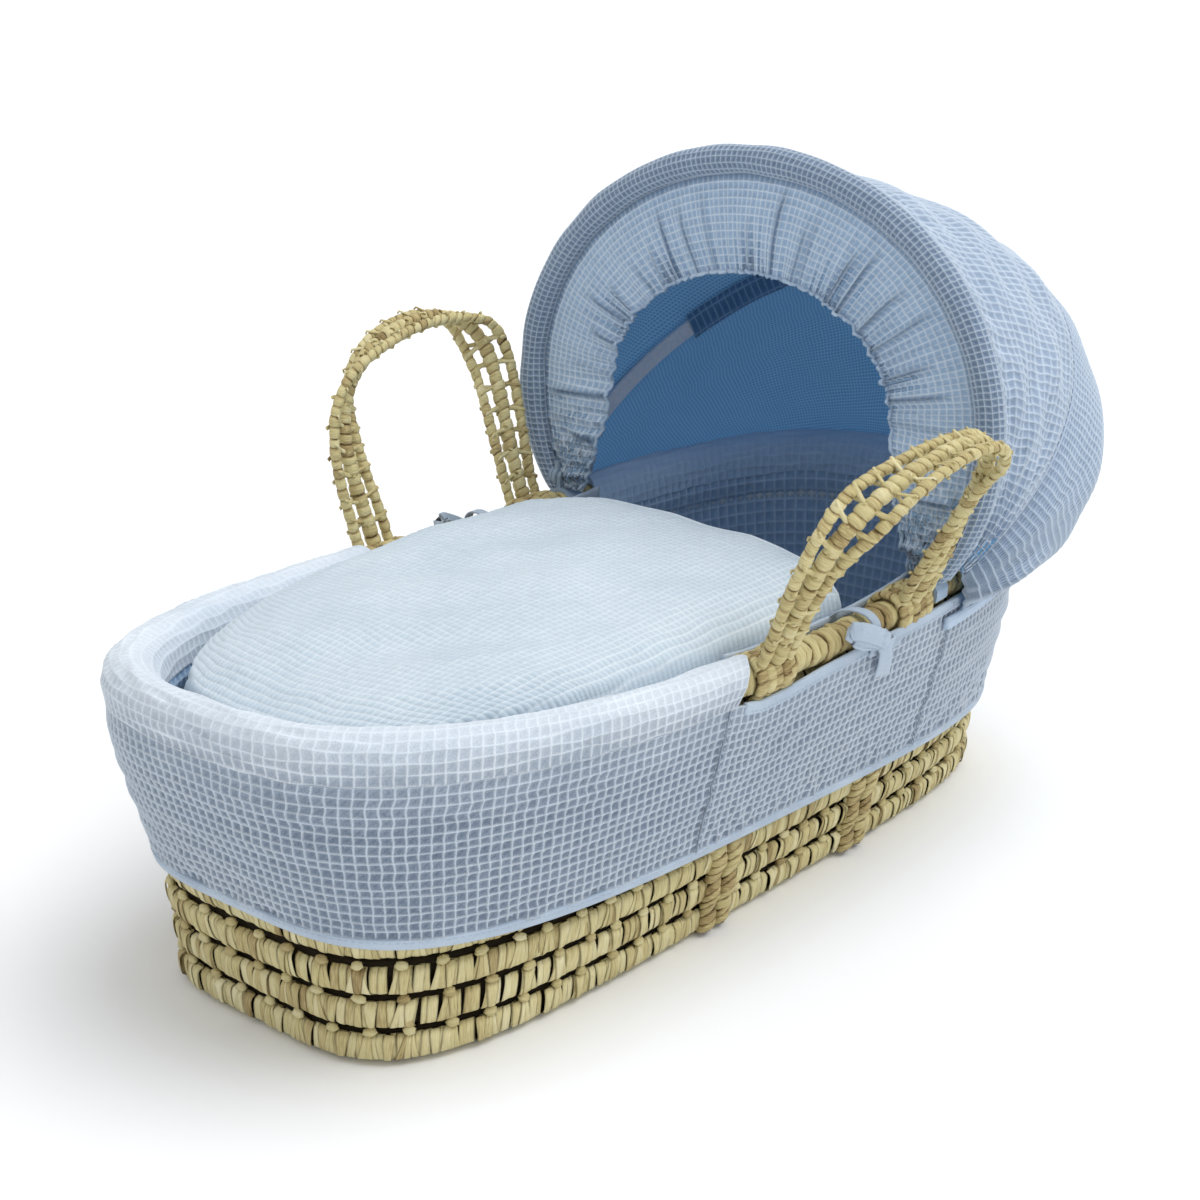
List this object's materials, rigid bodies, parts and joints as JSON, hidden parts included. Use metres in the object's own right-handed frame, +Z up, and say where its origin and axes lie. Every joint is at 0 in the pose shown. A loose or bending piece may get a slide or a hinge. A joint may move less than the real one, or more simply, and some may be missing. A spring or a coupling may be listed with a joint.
{
  "type": "moses basket",
  "caption": "Oval palm basket with padded waffle-weave skirt and lining, carrying handles, mattress, coverlet and a folding hood on hinged bows.",
  "frame": {"origin": "middle of the flat underside", "axes": "+X towards the hood (head) end, -Y the near long side, +Z up"},
  "size_m": [0.9322, 0.579, 0.5492],
  "materials": {
    "palm_bundle": "matt dried palm leaf wrapped round bundles",
    "palm_cord": "matt wrapped palm cord",
    "hood_plastic": "smooth white plastic",
    "pin_steel": "plain",
    "hood_wire": "plain wire inside the brim",
    "mattress_foam": "foam",
    "mattress_ticking": "smooth woven cotton",
    "coverlet_cotton": "pale waffle weave over padding",
    "tape_cotton": "smooth bias tape with a line of stitching",
    "elastic": "gathered elastic edge",
    "hood_cotton": "waffle weave",
    "lining_cotton": "waffle weave",
    "waffle_cotton": "waffle weave"
  },
  "bodies": {
    "basket": {"base_mat": "palm_bundle", "bow_bracket_far": "hood_plastic", "bow_bracket_near": "hood_plastic", "bow_pin_far": "pin_steel", "bow_pin_near": "pin_steel", "handle_band_foot": "palm_cord", "handle_band_head": "palm_cord", "handle_knot_far_foot": "palm_cord", "handle_knot_far_head": "palm_cord", "handle_knot_near_foot": "palm_cord", "handle_knot_near_head": "palm_cord", "hood_hem_binding": "tape_cotton", "lining": "lining_cotton", "lining_slit_binding_far": "tape_cotton", "lining_slit_binding_near": "tape_cotton", "rear_canopy": "hood_cotton", "rim_pad_foot": "waffle_cotton", "rim_pad_head": "waffle_cotton", "rim_roll": "palm_bundle", "skirt_foot_panel": "waffle_cotton", "skirt_head_panel": "waffle_cotton", "skirt_hem_binding": "tape_cotton", "skirt_panel_far": "waffle_cotton", "skirt_panel_near": "waffle_cotton", "skirt_slit_binding_far": "tape_cotton", "skirt_slit_binding_near": "tape_cotton", "tie_far": "tape_cotton", "tie_near": "tape_cotton", "wall_course_1": "palm_bundle", "wall_course_2": "palm_bundle", "wall_course_3": "palm_bundle", "wall_course_4": "palm_bundle", "wall_course_5": "palm_bundle", "wall_course_6": "palm_bundle", "wall_course_7": "palm_bundle", "wall_course_8": "palm_bundle"},
    "handle_near": {"handle_near_cord_1": "palm_cord", "handle_near_cord_2": "palm_cord", "handle_near_cord_3": "palm_cord", "handle_near_lacing": "palm_cord"},
    "handle_far": {"handle_far_cord_1": "palm_cord", "handle_far_cord_2": "palm_cord", "handle_far_cord_3": "palm_cord", "handle_far_lacing": "palm_cord"},
    "mattress": {"mattress_core": "mattress_foam", "mattress_cover": "mattress_ticking"},
    "coverlet": {"coverlet": "coverlet_cotton", "coverlet_head_binding": "tape_cotton"},
    "hood_rear": {"rear_bow": "hood_plastic", "bow_sleeve": "tape_cotton", "rear_hinge_plate_near": "hood_plastic", "rear_hinge_plate_far": "hood_plastic", "front_canopy": "hood_cotton"},
    "hood_front": {"front_bow": "hood_wire", "brim_roll": "hood_cotton", "ruffle": "hood_cotton", "ruffle_elastic": "elastic", "front_hinge_plate_near": "hood_plastic", "front_hinge_plate_far": "hood_plastic"}
  },
  "joints": [
    {"name": "near_handle_swing", "type": "hinge", "parent": "basket", "child": "handle_near", "pos_m": [0.0265, -0.208, 0.239], "axis": [1, 0, 0], "range_deg": [-72, 70]},
    {"name": "far_handle_swing", "type": "hinge", "parent": "basket", "child": "handle_far", "pos_m": [0.0265, 0.208, 0.239], "axis": [-1, 0, 0], "range_deg": [-68, 75]},
    {"name": "mattress_lift", "type": "slide", "parent": "basket", "child": "mattress", "axis": [0, 0, 1], "range_m": [0, 0.12]},
    {"name": "coverlet_lift", "type": "slide", "parent": "mattress", "child": "coverlet", "axis": [0, 0, 1], "range_m": [0, 0.15]},
    {"name": "hood_rear_fold", "type": "hinge", "parent": "basket", "child": "hood_rear", "pos_m": [0.157, 0, 0.244], "axis": [0, 1, 0], "range_deg": [0, 20], "deforming": ["rear_canopy"]},
    {"name": "hood_front_fold", "type": "hinge", "parent": "hood_rear", "child": "hood_front", "pos_m": [0.157, 0, 0.244], "axis": [0, 1, 0], "range_deg": [0, 40], "deforming": ["front_canopy"]}
  ]
}
